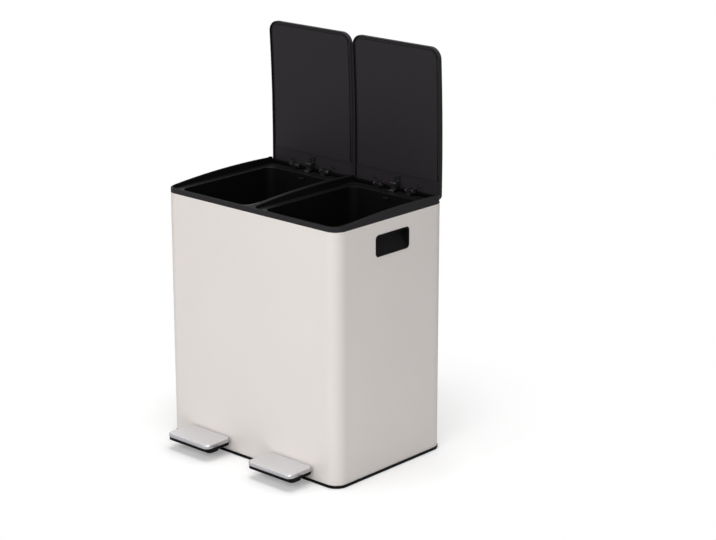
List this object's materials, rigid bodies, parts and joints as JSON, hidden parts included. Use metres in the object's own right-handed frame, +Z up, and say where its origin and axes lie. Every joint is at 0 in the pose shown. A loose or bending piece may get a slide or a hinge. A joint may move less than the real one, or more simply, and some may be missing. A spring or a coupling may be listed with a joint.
{
  "type": "double recycling bin",
  "caption": "Free-standing two-compartment pedal bin: steel body on a moulded base, two lids that fold back, lift-out inner buckets and a pedal linkage for each lid.",
  "frame": {"origin": "middle of the body's footprint, on the floor", "axes": "+Z up, front with the pedals faces -Y, +X to the right seen from the front; lids open and pedals up at rest"},
  "size_m": [0.5532, 0.4536, 0.971],
  "materials": {
    "coated_steel": "fine-textured powder coat, satin, warm grey white",
    "black_moulding": "moulded polypropylene, fine grain, matte black",
    "lid_skin": "moulded cover, fine grain, satin black",
    "lid_lining": "moulded panel, satin, near black",
    "bucket_plastic": "moulded polypropylene, satin black",
    "pedal_steel": "brushed stainless sheet",
    "plated_steel": "zinc-plated steel",
    "nylon": "natural-sheen nylon, black",
    "spring_wire": "drawn spring wire",
    "ring_rubber": "soft black rubber"
  },
  "bodies": {
    "bin_body": {"floor_ring": "ring_rubber", "base_tray": "black_moulding", "body_skin": "coated_steel", "top_frame": "black_moulding", "bracket_screws": "plated_steel", "guide_screws": "plated_steel", "handle_cup_left": "black_moulding", "handle_cup_right": "black_moulding", "pedal_bracket_left": "plated_steel", "pedal_bracket_right": "plated_steel", "pivot_pin_left": "plated_steel", "pivot_pin_right": "plated_steel", "rod_guide_left": "black_moulding", "rod_guide_right": "black_moulding", "damper_cylinder_left": "nylon", "damper_cylinder_right": "nylon", "return_spring_left": "spring_wire", "return_spring_right": "spring_wire"},
    "lid_left": {"lid_shell_left": "lid_skin", "lid_liner_left": "lid_lining", "lid_lever_left": "nylon", "hinge_pins_left": "plated_steel", "lid_screws_left": "plated_steel", "lever_screws_left": "plated_steel"},
    "pedal_left": {"pedal_plate_left": "pedal_steel", "pedal_base_left": "black_moulding", "pedal_screws_left": "plated_steel", "pedal_lever_left": "plated_steel", "pivot_bush_left": "nylon", "lever_pin_left": "plated_steel"},
    "rod_left": {"push_rod_left": "plated_steel", "rod_cap_left": "nylon", "rod_foot_left": "nylon", "rod_collar_left": "plated_steel", "damper_plunger_left": "plated_steel"},
    "bucket_left": {"inner_bucket_left": "bucket_plastic"},
    "lid_right": {"lid_shell_right": "lid_skin", "lid_liner_right": "lid_lining", "lid_lever_right": "nylon", "hinge_pins_right": "plated_steel", "lid_screws_right": "plated_steel", "lever_screws_right": "plated_steel"},
    "pedal_right": {"pedal_plate_right": "pedal_steel", "pedal_base_right": "black_moulding", "pedal_screws_right": "plated_steel", "pedal_lever_right": "plated_steel", "pivot_bush_right": "nylon", "lever_pin_right": "plated_steel"},
    "rod_right": {"push_rod_right": "plated_steel", "rod_cap_right": "nylon", "rod_foot_right": "nylon", "rod_collar_right": "plated_steel", "damper_plunger_right": "plated_steel"},
    "bucket_right": {"inner_bucket_right": "bucket_plastic"}
  },
  "joints": [
    {"name": "lid_left_hinge", "type": "hinge", "parent": "bin_body", "child": "lid_left", "pos_m": [-0.1375, 0.1626, 0.6224], "axis": [-1, 0, 0], "range_deg": [-90, 0]},
    {"name": "lid_right_hinge", "type": "hinge", "parent": "bin_body", "child": "lid_right", "pos_m": [0.1375, 0.1626, 0.6224], "axis": [-1, 0, 0], "range_deg": [-90, 0]},
    {"name": "pedal_left_pivot", "type": "hinge", "parent": "bin_body", "child": "pedal_left", "pos_m": [-0.1375, -0.055, 0.026], "axis": [1, 0, 0], "range_deg": [0, 4.65]},
    {"name": "rod_left_slide", "type": "slide", "parent": "bin_body", "child": "rod_left", "axis": [0, 0, 1], "range_m": [0, 0.0171], "stiffness_N_per_m": 180, "springref_m": -0.035, "deforming": ["return_spring_left"]},
    {"name": "pedal_right_pivot", "type": "hinge", "parent": "bin_body", "child": "pedal_right", "pos_m": [0.1375, -0.055, 0.026], "axis": [1, 0, 0], "range_deg": [0, 4.65]},
    {"name": "rod_right_slide", "type": "slide", "parent": "bin_body", "child": "rod_right", "axis": [0, 0, 1], "range_m": [0, 0.0171], "stiffness_N_per_m": 180, "springref_m": -0.035, "deforming": ["return_spring_right"]},
    {"name": "bucket_left_lift", "type": "slide", "parent": "bin_body", "child": "bucket_left", "axis": [0, 0, 1], "range_m": [0, 0.6]},
    {"name": "bucket_right_lift", "type": "slide", "parent": "bin_body", "child": "bucket_right", "axis": [0, 0, 1], "range_m": [0, 0.6]}
  ],
  "couplings": [
    {"joint": "rod_left_slide", "follows": "pedal_left_pivot", "m_per_rad": 0.2095},
    {"joint": "rod_right_slide", "follows": "pedal_right_pivot", "m_per_rad": 0.2095}
  ]
}
